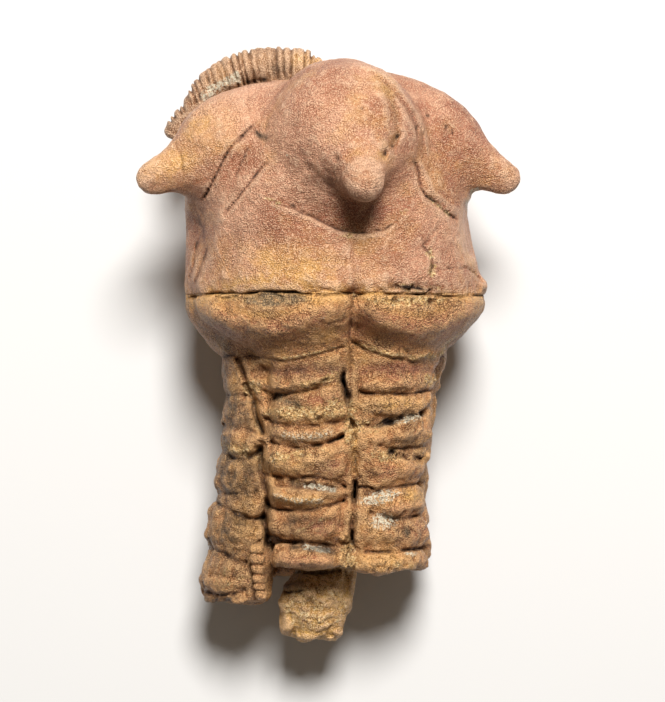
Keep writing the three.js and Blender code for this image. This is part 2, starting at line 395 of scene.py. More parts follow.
def meshOf(name, volume):
    grid = openvdb.FloatGrid(outside)
    grid.copyFromArray(np.ascontiguousarray(volume.values), ijk=(0, 0, 0))
    points, _, quads = grid.convertToPolygons(isovalue=0.0, adaptivity=0.0)
    points = points * volume.cell + volume.corner
    a, b, c, d = (points[quads[:, i]] - points.mean(0) for i in range(4))
    if np.sum(np.cross(c - a, d - b) * (a + c)) < 0:
        quads = quads[:, ::-1]
    mesh = bpy.data.meshes.new(name)
    mesh.vertices.add(len(points))
    mesh.loops.add(len(quads) * 4)
    mesh.polygons.add(len(quads))
    mesh.vertices.foreach_set("co", (points / mmPerMetre).astype(np.float32).ravel())
    mesh.loops.foreach_set("vertex_index", quads.astype(np.int32).ravel())
    mesh.polygons.foreach_set("loop_start", np.arange(len(quads), dtype=np.int32) * 4)
    mesh.polygons.foreach_set("use_smooth", np.ones(len(quads), bool))
    mesh.update(calc_edges=True)
    return mesh, points


def addPiece(name, node, volume, relief, drawing, shown, material):
    mesh, points = meshOf(name, volume)
    stray = [softLumps(points, wander["size"], seed) for seed in wander["seeds"]]
    seen = toPhoto(points) + wander["pixels"] * np.stack(stray, axis=1)
    marked = shown(points)
    setColours(mesh, "relief", *relief.at(points))
    for layer, kinds in stainAndShadeLayers.items():
        setColours(mesh, layer, *(np.clip(drawing.at(kind, seen) * marked, 0, 1) for kind in kinds))
    mesh.materials.append(material)
    piece = bpy.data.objects.new(name, mesh)
    scene.collection.objects.link(piece)
    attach(piece, "root")
    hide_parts(node)
    print(name, len(mesh.polygons) * 2, "triangles")


# Shader helpers

def addNode(tree, kind, settings=None, inputs=None):
    node = tree.nodes.new(kind)
    for name, value in (settings or {}).items():
        setattr(node, name, value)
    for label, value in (inputs or {}).items():
        if isinstance(value, bpy.types.NodeSocket):
            tree.links.new(value, node.inputs[label])
        else:
            node.inputs[label].default_value = value
    return node


def mathNode(tree, operation, first, second=0.0, clamp=False):
    settings = {"operation": operation, "use_clamp": clamp}
    return addNode(tree, "ShaderNodeMath", settings, {0: first, 1: second}).outputs[0]


def ramp(tree, value, low, high, lowTo=0.0, highTo=1.0):
    settings = {"clamp": True, "interpolation_type": "SMOOTHSTEP"}
    inputs = {"Value": value, "From Min": low, "From Max": high, "To Min": lowTo, "To Max": highTo}
    return addNode(tree, "ShaderNodeMapRange", settings, inputs).outputs["Result"]


def mixColour(tree, share, first, second):
    inputs = {0: share, 6: first, 7: second}  # the sockets that stand for colours
    return addNode(tree, "ShaderNodeMix", {"data_type": "RGBA"}, inputs).outputs[2]


def noiseNode(tree, perMetre, detail, roughness, bend=0.0):
    place = addNode(tree, "ShaderNodeTexCoord").outputs["Object"]
    inputs = {
        "Vector": place,
        "Scale": perMetre,
        "Detail": detail,
        "Roughness": roughness,
        "Distortion": bend,
    }
    return addNode(tree, "ShaderNodeTexNoise", None, inputs).outputs["Fac"]


def newGroup(name, inputs, outputs):
    group = bpy.data.node_groups.new(name, "ShaderNodeTree")
    for label, value in inputs.items():
        socket = group.interface.new_socket(label, in_out="INPUT", socket_type="NodeSocketFloat")
        socket.default_value = value
    for label in outputs:
        group.interface.new_socket(label, in_out="OUTPUT", socket_type="NodeSocketFloat")
    return group, group.nodes.new("NodeGroupInput").outputs


def giveOut(group, shares):
    addNode(group, "NodeGroupOutput", None, shares)
    return group


# Colours are written as they look on a screen, 0 to 255, and turned into light by the usual screen curve
def screenColour(red, green, blue):
    def linear(value):
        value /= 255
        return value / 12.92 if value <= 0.04045 else ((value + 0.055) / 1.055) ** 2.4
    return (linear(red), linear(green), linear(blue), 1.0)


# The grain of the stone: specks that gather in clusters, wider mottling, fine creases, and their height.
# Each pair or row of four is a ramp: where it begins and ends, and what it gives there
grainShape = {
    "roughness": 0.65,
    "speckDetail": 1.0,
    "broadDetail": 3.0,
    "mottlingSize": 4.5,  # times the size of the specks
    "clusterSize": 4.0,  # in millimetres
    "clusters": (0.38, 0.62, 0.35, 1.0),
    "creaseBend": 0.7,
    "creaseMiddle": 0.5,
    "creases": (0.03, 0.0),
    "darkSpecks": (0.5, 0.34),
    "lightSpecks": (0.5, 0.66),
    "mottling": (0.32, 0.68),
}


def makeGrainGroup():
    group, given = newGroup(
        "stoneGrain",
        {"Size": 0.2, "Crease Spacing": 3.0, "Creases": 0.5},
        ("Dark Specks", "Light Specks", "Mottling", "Creases", "Height"),
    )

    def noise(size, detail, bend=0.0):
        perMetre = mathNode(group, "DIVIDE", mmPerMetre, size)
        return noiseNode(group, perMetre, detail, grainShape["roughness"], bend)

    fine = noise(given["Size"], grainShape["speckDetail"])
    wide = mathNode(group, "MULTIPLY", given["Size"], grainShape["mottlingSize"])
    coarse = noise(wide, grainShape["broadDetail"])
    gathered = noise(grainShape["clusterSize"], grainShape["broadDetail"])
    clusters = ramp(group, gathered, *grainShape["clusters"])
    bent = noise(given["Crease Spacing"], grainShape["broadDetail"], grainShape["creaseBend"])
    folds = mathNode(group, "ABSOLUTE", mathNode(group, "SUBTRACT", bent, grainShape["creaseMiddle"]))
    creases = mathNode(group, "MULTIPLY", ramp(group, folds, *grainShape["creases"]), clusters)
    dark = mathNode(group, "MULTIPLY", ramp(group, fine, *grainShape["darkSpecks"]), clusters)
    sunk = mathNode(group, "MULTIPLY", creases, given["Creases"])
    height = mathNode(group, "ADD", fine, mathNode(group, "SUBTRACT", coarse, sunk))
    return giveOut(group, {
        "Dark Specks": dark,
        "Light Specks": ramp(group, fine, *grainShape["lightSpecks"]),
        "Mottling": ramp(group, coarse, *grainShape["mottling"]),
        "Creases": creases,
        "Height": height,
    })


# What has settled on the stone, and painted light and shade: dirt and painted shade in hollows, painted
# highlights on convex edges, mineral stains, and a crumbly crust of sediment. Its shares come from the marks
# and the relief on the points of each piece.
weatherAndLightShape = {
    "detail": 4.0,
    "roughness": 0.65,
    # patches: how many to the metre, and the ramp over their noise
    "broken": (1400.0, 0.36, 0.64, 0.3, 1.5),
    "cloudy": (420.0, 0.36, 0.64, 0.4, 1.4),
    "drifts": (90.0, 0.46, 0.68, 0.0),
    "smears": (150.0, 0.5, 0.66, 0.0),
    "crystals": (2600.0, 0.36, 0.64, 0.1, 1.5),
    "crumbs": (2100.0, 0.3, 0.7),
    # ramps over the relief and the shares
    "broadShare": 0.5,
    "hollowFrom": 0.12,
    "hollowBreaks": (0.3, 1.2, 0.5, 1.0),
    "highlightEdges": (-0.03, -0.16),
    "pale": (0.25, 0.8),
    "settled": (0.1, 0.4),
    "crust": (0.2, 0.55),
}


def makeWeatherAndLightGroup():
    group, given = newGroup(
        "weatheringAndPaintedLight",
        {"Hollow Depth": 0.3, "Ochre Patches": 0.5, "Ash Patches": 0.3, "Crust In Hollows": 0.5},
        ("Shade And Dirt In Hollows", "Edges", "Grime And Shade", "Ochre", "Pale", "Ash And Shade", "Rosy And Shade", "Crust", "Crust Tone"),
    )

    def layer(name):
        colour = addNode(group, "ShaderNodeAttribute", {"attribute_name": name}).outputs["Color"]
        return addNode(group, "ShaderNodeSeparateColor", None, {"Color": colour}).outputs

    def patches(perMetre, *spread):
        noise = noiseNode(group, perMetre, weatherAndLightShape["detail"], weatherAndLightShape["roughness"])
        return ramp(group, noise, *spread)

    def product(first, second):
        return mathNode(group, "MULTIPLY", first, second)

    def total(first, second):
        return mathNode(group, "ADD", first, second, clamp=True)

    def clouded(stain):
        return mathNode(group, "MINIMUM", product(stain, cloudy), 1.0)

    fine, broad = layer("relief")[:2]
    grime, ochre, pale = layer("stainsAndShade")
    ash, rosy, sandy = layer("tintsAndShade")
    broken = patches(*weatherAndLightShape["broken"])
    cloudy = patches(*weatherAndLightShape["cloudy"])
    drifts = patches(*weatherAndLightShape["drifts"], given["Ochre Patches"])
    smears = patches(*weatherAndLightShape["smears"], given["Ash Patches"])
    # how deep each point lies among its surroundings, which sets the dirt and painted shade in hollows
    hollow = mathNode(group, "ADD", fine, product(broad, weatherAndLightShape["broadShare"]))
    deep = ramp(group, hollow, weatherAndLightShape["hollowFrom"], given["Hollow Depth"])
    crystals = product(pale, patches(*weatherAndLightShape["crystals"]))
    settled = product(ramp(group, broad, *weatherAndLightShape["settled"]), given["Crust In Hollows"])
    crust = product(mathNode(group, "ADD", sandy, settled), product(broken, cloudy))
    return giveOut(group, {
        # painted shade, with dirt, in hollows
        "Shade And Dirt In Hollows": product(deep, ramp(group, broken, *weatherAndLightShape["hollowBreaks"])),
        # painted highlight on convex edges
        "Edges": ramp(group, fine, *weatherAndLightShape["highlightEdges"]),
        "Grime And Shade": clouded(grime),
        "Ochre": total(drifts, product(ochre, cloudy)),
        "Pale": ramp(group, crystals, *weatherAndLightShape["pale"]),
        "Ash And Shade": total(smears, product(ash, cloudy)),
        "Rosy And Shade": clouded(rosy),
        "Crust": ramp(group, crust, *weatherAndLightShape["crust"]),
        "Crust Tone": patches(*weatherAndLightShape["crumbs"]),
    })


grainGroup = makeGrainGroup()
weatherAndLightGroup = makeWeatherAndLightGroup()

# How the layers of all the stones are mixed: ramps, and shares from 0 to 1
stoneMix = {
    "blotchDetail": 5.0,
    "blotchRoughness": 0.6,
    "blotches": (0.38, 0.64),
    "crustTone": (0.1, 0.45),
    "crustHighlights": (0.5, 0.9),
    "crustShare": 0.9,
    "creaseDepth": 2.0,  # times the share of the creases
    "crystals": (0.1, 0.7),
}


def makeStone(name, look):
    look = {key: screenColour(*value) if isinstance(value, tuple) else value for key, value in look.items()}
    material = bpy.data.materials.new(name)
    material.use_nodes = True
    tree = material.node_tree
    shader = tree.nodes["Principled BSDF"]

    def placed(group, inputs):
        return addNode(tree, "ShaderNodeGroup", {"node_tree": group}, inputs).outputs

    def share(mask, amount):
        return mathNode(tree, "MULTIPLY", mask, amount)

    grain = placed(grainGroup, {
        "Size": look["grain"],
        "Crease Spacing": look["creaseSpacing"],
        "Creases": stoneMix["creaseDepth"] * look["creases"],
    })
    weatherAndLight = placed(weatherAndLightGroup, {
        "Hollow Depth": look["hollowDepth"],
        "Ochre Patches": look["ochrePatches"],
        "Ash Patches": look["ashPatches"],
        "Crust In Hollows": look["crustInHollows"],
    })
    noise = noiseNode(tree, look["blotchScale"], stoneMix["blotchDetail"], stoneMix["blotchRoughness"])
    blotches = ramp(tree, noise, *stoneMix["blotches"])
    crustTone = ramp(tree, weatherAndLight["Crust Tone"], *stoneMix["crustTone"])
    crustHighlights = ramp(tree, weatherAndLight["Crust Tone"], *stoneMix["crustHighlights"])
    crust = mixColour(tree, crustTone, look["crustDark"], look["crust"])
    crust = mixColour(tree, crustHighlights, crust, look["crustLight"])
    layers = [
        (blotches, look["blotch"]),
        (weatherAndLight["Ochre"], look["ochre"]),
        # the stone's reddish tint, also used as painted shade on faces turned from the light
        (weatherAndLight["Rosy And Shade"], look["rosy"]),
        # the grey-olive tint, also used as painted shadow on the ledge under the arms' ends
        (weatherAndLight["Ash And Shade"], look["ash"]),
        # painted highlight: convex edges lightened with the edge colour
        (share(weatherAndLight["Edges"], look["edgeLight"]), look["edge"]),
        (share(weatherAndLight["Crust"], stoneMix["crustShare"]), crust),
        (share(grain["Mottling"], look["mottling"]), look["speck"]),
        (share(grain["Light Specks"], look["lightSpecks"]), look["edge"]),
        (share(grain["Dark Specks"], look["darkSpecks"]), look["speck"]),
        # the fine creases of the grain, darkened with the same colour as the hollows
        (share(grain["Creases"], look["creases"]), look["hollow"]),
        # dirt and painted shade in hollows
        (share(weatherAndLight["Shade And Dirt In Hollows"], look["shadeAndDirtInHollows"]), look["hollow"]),
        (weatherAndLight["Pale"], look["pale"]),
        # dirt in cracks, seams and pits, and painted shade where marks darken shaded places
        (weatherAndLight["Grime And Shade"], look["grime"]),
    ]
    tone = look["stone"]
    for mask, colour in layers:
        tone = mixColour(tree, mask, tone, colour)
    tree.links.new(tone, shader.inputs["Base Color"])
    relief = {"Height": grain["Height"], "Strength": look["bump"], "Distance": look["bumpHeight"]}
    bump = addNode(tree, "ShaderNodeBump", None, relief)
    tree.links.new(bump.outputs["Normal"], shader.inputs["Normal"])
    gloss = ramp(tree, weatherAndLight["Pale"], *stoneMix["crystals"], look["roughness"], look["crystalRoughness"])
    tree.links.new(gloss, shader.inputs["Roughness"])
    shader.inputs["Specular IOR Level"].default_value = look["shine"]
    return material


cupLook = {
    "stone": (202, 148, 116),
    "blotch": (162, 102, 73),
    "ochre": (212, 158, 90),
    # rosy: the stone's reddish tint, also used as painted shade in the crook under the front spine and on
    # shaded faces
    "rosy": (164, 98, 70),
    # ash: a grey-olive tint, also used as painted shadow on the ledge under the arms' ends
    "ash": (118, 104, 80),
    # edge: the colour of the painted edge highlights, and of the pale specks of the grain
    "edge": (244, 206, 170),
    "speck": (96, 55, 33),
    # hollow: the colour of dirt and painted shade in hollows, also laid in the fine creases of the grain
    "hollow": (80, 45, 25),
    "crustDark": (112, 80, 44),
    "crust": (200, 160, 98),
    "crustLight": (232, 208, 158),
    # grime: dirt in cracks, seams and pits, also used as painted shade where marks darken shaded places
    "grime": (42, 27, 18),
    "pale": (212, 200, 174),
    "grain": 0.2,
    "mottling": 0.2,
    "lightSpecks": 0.5,
    "darkSpecks": 0.65,
    "shadeAndDirtInHollows": 0.8,
    "bump": 1.0,
    "bumpHeight": 0.0004,  # in metres
    "blotchScale": 100.0,  # blotches to the metre
    "hollowDepth": 0.65,
    "ochrePatches": 0.6,
    "ashPatches": 0.08,
    "crustInHollows": 0.25,
    "edgeLight": 0.3,
    "creaseSpacing": 5.0,
    "creases": 0.05,
    "roughness": 0.42,
    "crystalRoughness": 0.25,
    "shine": 0.3,
}
armLook = dict(
    cupLook,
    stone=(190, 132, 84),
    blotch=(136, 90, 54),
    ochre=(222, 168, 94),
    rosy=(176, 108, 80),
    creaseSpacing=2.2,
    creases=0.3,
    blotchScale=170.0,
    roughness=0.4,
    edge=(228, 182, 128),
    edgeLight=0.4,
    ashPatches=0.4,
    crustInHollows=0.85,
    hollowDepth=0.6,
    shadeAndDirtInHollows=0.65,
    lightSpecks=0.65,
    darkSpecks=0.85,
)
stemLook = dict(
    cupLook,
    stone=(168, 124, 86),
    blotch=(142, 97, 62),
    ochrePatches=0.4,
    ashPatches=0.3,
    crustInHollows=0.6,
    hollowDepth=0.5,
    shadeAndDirtInHollows=0.65,
    lightSpecks=0.65,
    darkSpecks=0.85,
)
matrixLook = dict(
    cupLook,
    stone=(208, 162, 84),
    blotch=(194, 148, 82),
    ochrePatches=0.5,
    mottling=0.3,
    crustInHollows=0.8,
    hollowDepth=0.9,
)
cupStone = makeStone("cupStone", cupLook)
armStone = makeStone("armStone", armLook)
stemStone = makeStone("stemStone", stemLook)
matrixStone = makeStone("sandyMatrix", matrixLook)
print("materials made")


# A line over the photograph, written as "across,down across,down"
def traced(text):
    return [[float(pixels) for pixels in place.split(",")] for place in text.split()]


# A mark along a line or over a spot, and what it does to the stone there
def stroke(line, width, **effects):
    return {"line": traced(line) if isinstance(line, str) else line, "width": width, **effects}


def spot(place, size, **effects):
    return {"spot": place, "size": size, **effects}


# A hollow with dirt in it
def pit(place, size, depth, grime, **effects):
    return spot(place, size, rise=-depth, grime=grime, **effects)


# A crumbly patch of sediment
def crust(place, size, rough, sandy, **effects):
    return spot(place, size, rough=rough, sandy=sandy, **effects)


seamShape = {"troughWidth": 5, "troughDepth": 0.65, "lineDepth": 0.6, "broken": 0.6, "taper": 0.05}
crackShape = {"broken": 0.25, "taper": 0.1}


# A seam between two plates: a soft trough with a thin broken line along it, which takes the stains
def seam(line, depth, width, grime, **stainsAndShade):
    taper = seamShape["taper"]
    stainsAndShade.update(grime=grime, broken=seamShape["broken"])
    return [
        stroke(line, seamShape["troughWidth"] * width, rise=-seamShape["troughDepth"] * depth, taper=taper),
        stroke(line, width, rise=-seamShape["lineDepth"] * depth, taper=taper, **stainsAndShade),
    ]


def crack(line, depth, width, grime, **stainsAndShade):
    return stroke(line, width, rise=-depth, grime=grime, **crackShape, **stainsAndShade)


# Marks on the cup

cupMarks = [
    # cracks across the left plates
    crack("257,121 243,136 230,148 221,165 213,182 201,203", 0.8, 1.1, 0.75),
    crack("249,147 241,163 234,180", 0.5, 1.0, 0.6),
    crack("270,163 261,168 246,188 236,200 224,216", 0.7, 1.0, 0.75),
    crack("248,94 249,106 251,121", 0.3, 0.8, 0.3),
    crack("176,145 182,158 184,176", 0.3, 0.9, 0.35),
    # the edges of the front basal plate
    stroke("275,106 280,94 296,82 311,72", 1.2, fade=5, rise=-0.2),
    stroke("355,66 375,71 392,83 405,97 413,108 421,120 427,140 428,165", 1.6, rise=0.35, taper=0.2),
    stroke("372,73 389,86 401,100 409,112 416,126 420,146", 1.6, rise=-0.3, grime=0.2),
    # painted shade where the dome curves down on its right, over a real groove with an ochre tint
    stroke("380,80 391,100 396,120 396,136 388,152", 5, rise=-0.5, ochre=0.3, grime=0.22),
    # the right plates, rosier and darker towards their edge
    stroke("445,92 468,110 486,130 496,146", 9, rosy=1.0, grime=0.1),
    spot((420, 106), (6, 5), rosy=0.8),
    # the front spine, which points at the eye
    stroke("343,163 352,155 366,152 379,155 386,163", 6, rise=-0.4, ochre=0.4),
    spot((363, 178), (21, 20), flat=2, rise=0.9, rough=0.08, ochre=0.1, rosy=0.25),
    spot((316, 176), (25, 28), rough=0.2, grime=0.2),
    # the crook under the front spine and the suture below it. Its rosy darkening is painted shade: under the
    # spine, left of its knob and down the dome's left flank
    spot((360, 207), (48, 18), flat=2, rosy=0.9, grime=0.16),
    spot((332, 182), (15, 19), rosy=0.4, grime=0.26),
    spot((298, 150), (20, 34), rosy=0.35, grime=0.12),
    crust((274, 203), (16, 4), 0.15, 0.5, turn=18),
    crust((405, 212), (8, 4), 0.2, 0.6),
    spot((350, 236), (26, 4), sandy=0.4),
    stroke("258,198 285,206 320,221 342,231 367,233 387,228 402,215 414,209", 1.4, fade=15, rise=-0.8,
           taper=0.3),
    crack("262,200 285,206 320,221 342,231 367,233 387,228 402,215", 0.35, 1.0, 0.7),
    # the broken seam right of the front spine
    crack("413,160 418,172 421,186", 0.5, 1.8, 0.45, rosy=0.8),
    crack("420,185 426,196 438,205 452,217 460,219", 0.8, 1.2, 0.65),
    crack("442,124 450,128 454,136", 0.4, 0.9, 0.6),
    stroke("418,160 428,178 432,192 446,202 460,214", 2.4, rise=0.35),
    stroke("426,196 440,207 452,218", 2.0, rough=0.3, sandy=0.9),
    crack("438,226 428,241 423,246 432,258 430,280", 0.5, 1.2, 0.45),
    stroke("426,247 433,260 431,278", 3.5, rough=0.3, sandy=0.9),
    # the waist of the right side and the corner below it
    stroke("476,200 474,220 475,240 480,258", 9, rise=-2.4),
    spot((488, 284), (8, 10), rise=1.2),
    crack("432,272 450,269 468,269 484,283", 0.4, 0.9, 0.4),
    stroke("482,190 472,192 468,200 469,214", 2.2, rough=0.3, pale=1.8, broken=0.8),
    # the sunk left side, its face darkened with painted shade where it turns from the light
    stroke("219,205 221,222 219,240 204,273 193,288", 7, rise=0.3),
    spot((201, 228), (11, 26), rise=-0.9, rosy=0.9, grime=0.42),
    crack("208,246 201,266 193,286", 0.3, 1.2, 0.4),
    crack("197,240 194,262 189,282", 0.3, 1.2, 0.35),
    # the suture between the front radial plates
    stroke("354,236 353,255 354,275 354,293", 1.6, rise=-0.3, grime=0.15),
    # pits and specks
    pit((398, 136), (3.2, 1.6), 0.4, 0.7, turn=-50),
    pit((385, 153), (3.4, 1.7), 0.4, 0.7, turn=-60),
    pit((392, 146), (1.6, 1.6), 0.3, 0.7),
    pit((428, 116), (1.8, 1.4), 0.3, 0.8),
    pit((417, 128), (2, 2), 0.3, 0.7),
    pit((446, 128), (2, 2), 0.3, 0.7),
    pit((355, 98), (1.6, 1.6), 0.2, 0.6),
    pit((362, 108), (1.6, 1.6), 0.2, 0.6),
    pit((337, 158), (3, 2), 0.4, 0.6),
    pit((293, 206), (2.4, 2), 0.3, 0.6),
    spot((263, 136), (5.5, 2.8), turn=20, rough=0.2, grime=0.95, ash=0.6),
    spot((257, 131), (3, 1.6), turn=50, grime=0.8),
    spot((287, 156), (2, 2), pale=0.7),
    spot((339, 253), (6, 5), rise=0.25, rough=0.12),
    # broad stains, and rosier, darker patches on the right
    spot((165, 165), (34, 24), ochre=0.6),
    spot((212, 120), (26, 18), ochre=0.4),
    spot((306, 268), (50, 20), ochre=0.75),
    spot((379, 84), (14, 12), ochre=0.5),
    spot((364, 182), (14, 18), ochre=0.2, grime=0.1),
    spot((460, 145), (46, 40), rosy=0.7, grime=0.08),
    spot((425, 240), (34, 30), rosy=0.4, grime=0.06),
]

# The joint between the cup and the arms, and the first plates below it

jointMarks = [
    # the valley along the joint, with the stains in it and the crack at its bottom
    stroke("189,299 215,297 245,295 289,295 319,296 351,293", 7, rise=0.1, ochre=0.9, taper=0.05),
    stroke("189,298 203,295 225,293 245,294 268,291 289,292 319,295 351,293", 1.0, rise=-0.4, grime=0.55,
           taper=0.02, broken=0.4),
    crack("214,297 226,298 239,297", 0.3, 0.9, 0.4),
    crack("312,291 328,290 344,292", 0.3, 0.9, 0.35),
    stroke("356,294 384,294 411,293 440,296 487,296", 7, rise=0.1, ochre=0.7, taper=0.05),
    stroke("356,295 372,293 384,294 411,294 436,295 450,297 487,295", 1.0, rise=-0.4, grime=0.55, taper=0.02,
           broken=0.4),
    stroke("200,290 245,284 290,282 330,287", 8, ochre=0.7),
    # the pinched middle, where four plates meet, and the ridges that run out of it
    spot((354, 293), (12, 9), rise=-0.5),
    stroke("300,274 322,282 344,289", 7, rise=0.45),
    stroke("362,288 375,280 392,275", 7, rise=0.35),
    stroke("196,292 214,280 230,272", 8, rise=0.4),
    # the open pits, one grey and one sooty, and the crust beside them
    spot((274, 300), (33, 7), flat=3, rise=-0.45, rough=0.15, ash=1.3, grime=0.06),
    stroke("242,294 262,292 285,292 305,294", 1.2, rise=-0.35, grime=0.8),
    spot((412, 288), (32, 6), flat=2, rise=-0.1, rough=0.5, grime=0.35, sandy=0.5),
    stroke("374,292 395,287 420,288 442,292", 1.6, rough=0.4, grime=0.8, broken=0.4),
    spot((408, 301), (38, 5), flat=2, rise=-0.1, rough=0.45, sandy=1.0),
    pit((397, 300), (4, 2), 0.5, 0.9),
    pit((431, 302), (4, 2), 0.5, 0.9),
    pit((419, 305), (3, 1.6), 0.4, 0.8),
]
firstPlateMarks = [
    stroke("192,309 215,317 243,326 270,330 298,324 324,313 350,303", 12, rise=1.15, rosy=0.6),
    stroke("358,305 372,314 390,325 412,332 440,328 462,316 484,301", 12, rise=0.85, rosy=0.75),
    stroke("196,303 232,311 270,315 310,306 346,298", 5, ochre=0.6, pale=0.2),
    stroke("362,300 390,311 414,314 445,309 480,299", 4, ochre=0.4, pale=0.15),
    spot((290, 350), (50, 7), rise=-0.15, rosy=0.3, ochre=0.3),
    # rosy colour, with slight painted shade, under the middle of the lips
    spot((352, 326), (16, 14), rise=-0.3, rosy=0.8, grime=0.08),
    spot((408, 350), (42, 7), rise=-0.05, rosy=0.3, ochre=0.3),
    # the left lip's rosy underside, with slight painted shade
    stroke("199,322 222,334 245,344", 8, rosy=0.6, grime=0.1),
    *seam("238,354 252,356 268,358 289,361 308,358 324,353 346,346", 0.4, 1.1, 0.2),
    stroke("268,356 289,358 319,352 344,344", 1.4, rise=0.2, sandy=0.6),
    *seam("351,341 365,349 380,355 397,359 419,362 441,357 454,345", 0.4, 1.1, 0.2),
    stroke("356,342 380,351 397,356 419,358 441,353 452,343", 3.5, rise=0.2, rough=0.35, sandy=0.8),
    stroke("353,296 352,312 350,328 349,345", 1.3, rise=-0.3, grime=0.15),
    crack("403,347 408,352 413,359", 0.4, 1.0, 0.4),
    crack("326,324 344,321", 0.25, 1.0, 0.3),
    spot((324, 317), (2, 1.6), pale=0.9),
    stroke("440,352 456,340 470,330 482,316", 4, rough=0.25, sandy=0.8),
    spot((224, 342), (14, 10), ash=0.5),
]

# Seams, pits and crusts along the arms

middleArmMarks = [
    # painted shadow under the first plates, over a real dip, with the plate's rosy colour
    spot((296, 371), (46, 8), rise=-0.9, rosy=0.6, grime=0.5),
    stroke("252,384 275,388 300,385 325,379 344,371", 4, rise=0.5),
    *seam("258,389 278,394 300,393 322,387 344,380", 0.7, 1.4, 0.2, ochre=0.7),
    stroke("296,386 320,381 342,371", 5, rough=0.4, sandy=0.6, pale=0.25),
    stroke("272,396 287,401 302,409", 6, rise=-0.7, ash=0.9, grime=0.3),
    spot((324, 400), (18, 6), rosy=0.9),
    stroke("262,411 285,417 315,417 345,412", 5, rise=0.4, ochre=0.5),
    *seam("262,418 280,424 300,426 319,425 347,421", 0.8, 1.4, 0.35),
    stroke("275,432 295,437 315,436 338,430", 7, rise=0.6, ash=0.3, pale=0.45),
    *seam("268,441 285,447 305,448 325,443 346,435", 1.1, 1.7, 0.7),
    stroke("270,464 290,466 315,460 338,452", 8, rise=0.5, ochre=0.4),
    spot((334, 468), (14, 10), rosy=0.7, grime=0.15),
    *seam("262,474 289,478 310,477 332,481 348,488", 0.9, 1.5, 0.6),
    stroke("270,487 300,489 340,494", 1.5, fade=8, rise=-0.6),
    stroke("284,482 304,484 322,486 343,491", 4.5, rise=-0.6, rough=0.3, grime=0.35, ash=0.5),
    stroke("300,484 318,487 338,491", 3.2, rough=0.3, pale=1.0),
    stroke("268,493 285,499 305,502 330,501", 5, rise=0.6, ochre=0.9, pale=0.5),
    *seam("266,502 273,508 293,511 310,510 332,505 348,499", 1.0, 1.7, 0.45),
    pit((308, 521), (40, 8), 0.5, 0.55),
    spot((326, 528), (18, 10), rosy=0.8),
    spot((290, 530), (20, 10), ash=0.3, grime=0.15),
    stroke("292,533 312,524 336,512", 2.4, rise=0.4, rough=0.2, sandy=0.4),
    stroke("268,542 305,546 340,552", 1.5, fade=10, rise=-0.6),
    *seam("266,536 289,541 310,542 341,547", 0.8, 1.5, 0.6),
    stroke("286,545 305,547 322,549 341,552", 4.5, rise=-0.6, rough=0.3, grime=0.6, ash=0.5),
    stroke("300,546 316,549 332,551", 3.0, rough=0.3, pale=1.0),
    stroke("272,557 290,561 315,562 338,560", 6, rise=0.7, rosy=0.9),
    *seam("276,568 300,572 322,573 342,570", 1.0, 1.7, 0.6),
]
rightArmMarks = [
    # painted shadow under the first plates, over a real dip, with the plate's rosy colour
    spot((402, 369), (44, 8), rise=-0.8, rosy=0.9, grime=0.33),
    spot((398, 385), (40, 5), rise=0.5, rosy=0.4, pale=0.12),
    *seam("357,391 376,394 397,394 415,393 438,389", 0.8, 1.2, 0.5),
    spot((394, 404), (38, 7), rise=0.2, ochre=0.8),
    stroke("356,430 376,428 397,422 414,417 431,412", 1.5, fade=8, rise=-0.5),
    stroke("372,427 390,422 410,416 429,411", 4.5, rise=-0.7, rough=0.4, grime=0.35, ash=0.6),
    spot((409, 419), (15, 4), turn=-16, rough=0.3, pale=1.0),
    pit((388, 422), (6, 3), 0.5, 0.9),
    pit((400, 418), (2.5, 2), 0.5, 0.9),
    stroke("366,437 386,438 408,435 430,429", 6, rise=0.7, rosy=0.5, ochre=0.5),
    *seam("376,446 397,449 419,447 433,442", 1.0, 1.6, 0.4),
    stroke("386,453 405,456 424,459", 3.6, rise=-0.6, rough=0.35, grime=0.35, ash=0.4),
    pit((392, 452), (4, 2.5), 0.4, 0.9),
    spot((430, 457), (4, 4), rise=0.5, pale=0.3),
    stroke("372,471 395,473 425,467", 8, rise=0.5, rosy=0.7),
    *seam("357,487 375,488 397,487 415,484 433,478", 0.9, 1.5, 0.5),
    stroke("360,494 375,492 395,490", 3, rise=-0.4, grime=0.5),
    spot((380, 497), (22, 7), turn=-12, rise=-0.3, rough=0.35, pale=1.0),
    spot((413, 495), (11, 7), rise=0.4, ochre=0.9),
    stroke("378,509 400,510 426,503", 4.5, rise=0.5, rosy=0.7),
    *seam("368,511 383,516 397,519 413,517 431,511", 0.9, 1.5, 0.5),
    spot((383, 521), (14, 9), rough=0.35, pale=0.9),
    spot((398, 535), (34, 9), rise=0.3, grime=0.14),
    spot((407, 532), (4, 5), rise=-0.2, ash=0.9, grime=0.4),
    spot((420, 528), (12, 14), rosy=0.7),
    *seam("362,551 380,552 397,551 415,549 432,546", 1.0, 1.6, 0.7),
    spot((411, 554), (7, 3), rise=0.4, pale=0.7, ochre=0.4),
    spot((397, 566), (34, 9), rough=0.4, ochre=0.6, sandy=0.3),
    spot((425, 564), (8, 10), rosy=0.8),
]
